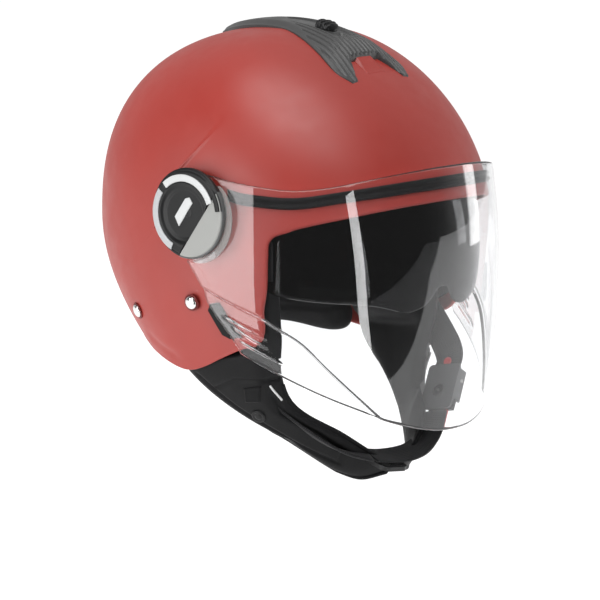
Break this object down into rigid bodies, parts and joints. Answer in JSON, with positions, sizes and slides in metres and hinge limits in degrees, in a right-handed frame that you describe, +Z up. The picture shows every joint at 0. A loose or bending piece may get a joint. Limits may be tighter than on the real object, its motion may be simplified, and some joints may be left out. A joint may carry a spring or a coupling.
{
  "type": "open-face motorcycle helmet",
  "caption": "Open-face helmet with a long clear visor, a drop-down sun visor worked by a top slider, padded cheek flaps and a chin strap with a ratchet buckle.",
  "frame": {"origin": "in the middle plane, midway between the ears and at the height of the ear canals of the head that wears it", "axes": "+X to the wearer's left, -Y to the front, +Z up"},
  "size_m": [0.2716, 0.2763, 0.3027],
  "materials": {
    "shell_paint": "matt lacquer over a moulded shell",
    "black_trim": "satin moulded plastic",
    "fairing_plastic": "fine-grained moulded plastic",
    "seal_rubber": "matt rubber",
    "clear_visor": "clear polished polycarbonate",
    "sun_visor_tint": "dark tinted polished polycarbonate",
    "pale_trim": "satin pale grey plastic",
    "steel": "polished steel",
    "spring_steel": "brushed steel",
    "foam": "expanded bead foam",
    "lining": "brushed knit over soft foam",
    "pad_cloth": "woven and grained black cloth over soft foam",
    "webbing": "black nylon webbing",
    "red_plastic": "red moulded plastic",
    "buckle_grey": "grey moulded plastic"
  },
  "bodies": {
    "root": {"brow_seal": "seal_rubber", "buckle_eyelet": "steel", "buckle_housing": "buckle_grey", "buckle_pin": "steel", "buckle_tongue": "black_trim", "cheek_core_left": "foam", "cheek_core_right": "foam", "cheek_pad_left": "pad_cloth", "cheek_pad_right": "pad_cloth", "comfort_liner": "lining", "foam_liner": "foam", "intake_grille": "black_trim", "neck_roll": "pad_cloth", "outer_shell": "shell_paint", "pivot_base_left": "black_trim", "pivot_base_right": "black_trim", "ratchet_ring_left": "black_trim", "ratchet_ring_right": "black_trim", "strap_anchor_left": "spring_steel", "strap_anchor_right": "spring_steel", "strap_chin": "webbing", "strap_left": "webbing", "strap_right": "webbing", "strap_rivets": "steel", "strap_slider": "black_trim", "sun_visor_bracket_left": "black_trim", "sun_visor_bracket_right": "black_trim", "top_fairing": "fairing_plastic", "visor_stop_left": "seal_rubber", "visor_stop_right": "seal_rubber"},
    "visor": {"clear_visor": "clear_visor", "pivot_cover_right": "black_trim", "cover_trim_right": "pale_trim", "cover_mark_right": "pale_trim", "pivot_screw_right": "steel", "pivot_cover_left": "black_trim", "cover_trim_left": "pale_trim", "cover_mark_left": "pale_trim", "pivot_screw_left": "steel"},
    "sun_visor": {"sun_visor": "sun_visor_tint", "sun_visor_arm_right": "black_trim", "sun_visor_arm_left": "black_trim"},
    "slider": {"slider_knob": "black_trim", "slider_carriage": "black_trim"},
    "buckle_lever": {"buckle_lever": "black_trim", "buckle_pull_tab": "red_plastic"}
  },
  "joints": [
    {"name": "visor_hinge", "type": "hinge", "parent": "root", "child": "visor", "pos_m": [0, -0.014, 0.06], "axis": [-1, 0, 0], "range_deg": [0, 50]},
    {"name": "sun_visor_hinge", "type": "hinge", "parent": "root", "child": "sun_visor", "pos_m": [0, 0.01, 0.028], "axis": [-1, 0, 0], "range_deg": [-6.6, 33]},
    {"name": "slider_hinge", "type": "hinge", "parent": "root", "child": "slider", "pos_m": [0, 0.01, 0.028], "axis": [-1, 0, 0], "range_deg": [-3, 15]},
    {"name": "buckle_lever_hinge", "type": "hinge", "parent": "root", "child": "buckle_lever", "pos_m": [0.0705, -0.07637, -0.07252], "axis": [0, -0.9839, 0.1789], "range_deg": [0, 55], "stiffness_Nm_per_rad": 0.02, "springref_deg": -5.73}
  ],
  "couplings": [
    {"joint": "slider_hinge", "follows": "sun_visor_hinge", "ratio": 0.45454}
  ]
}
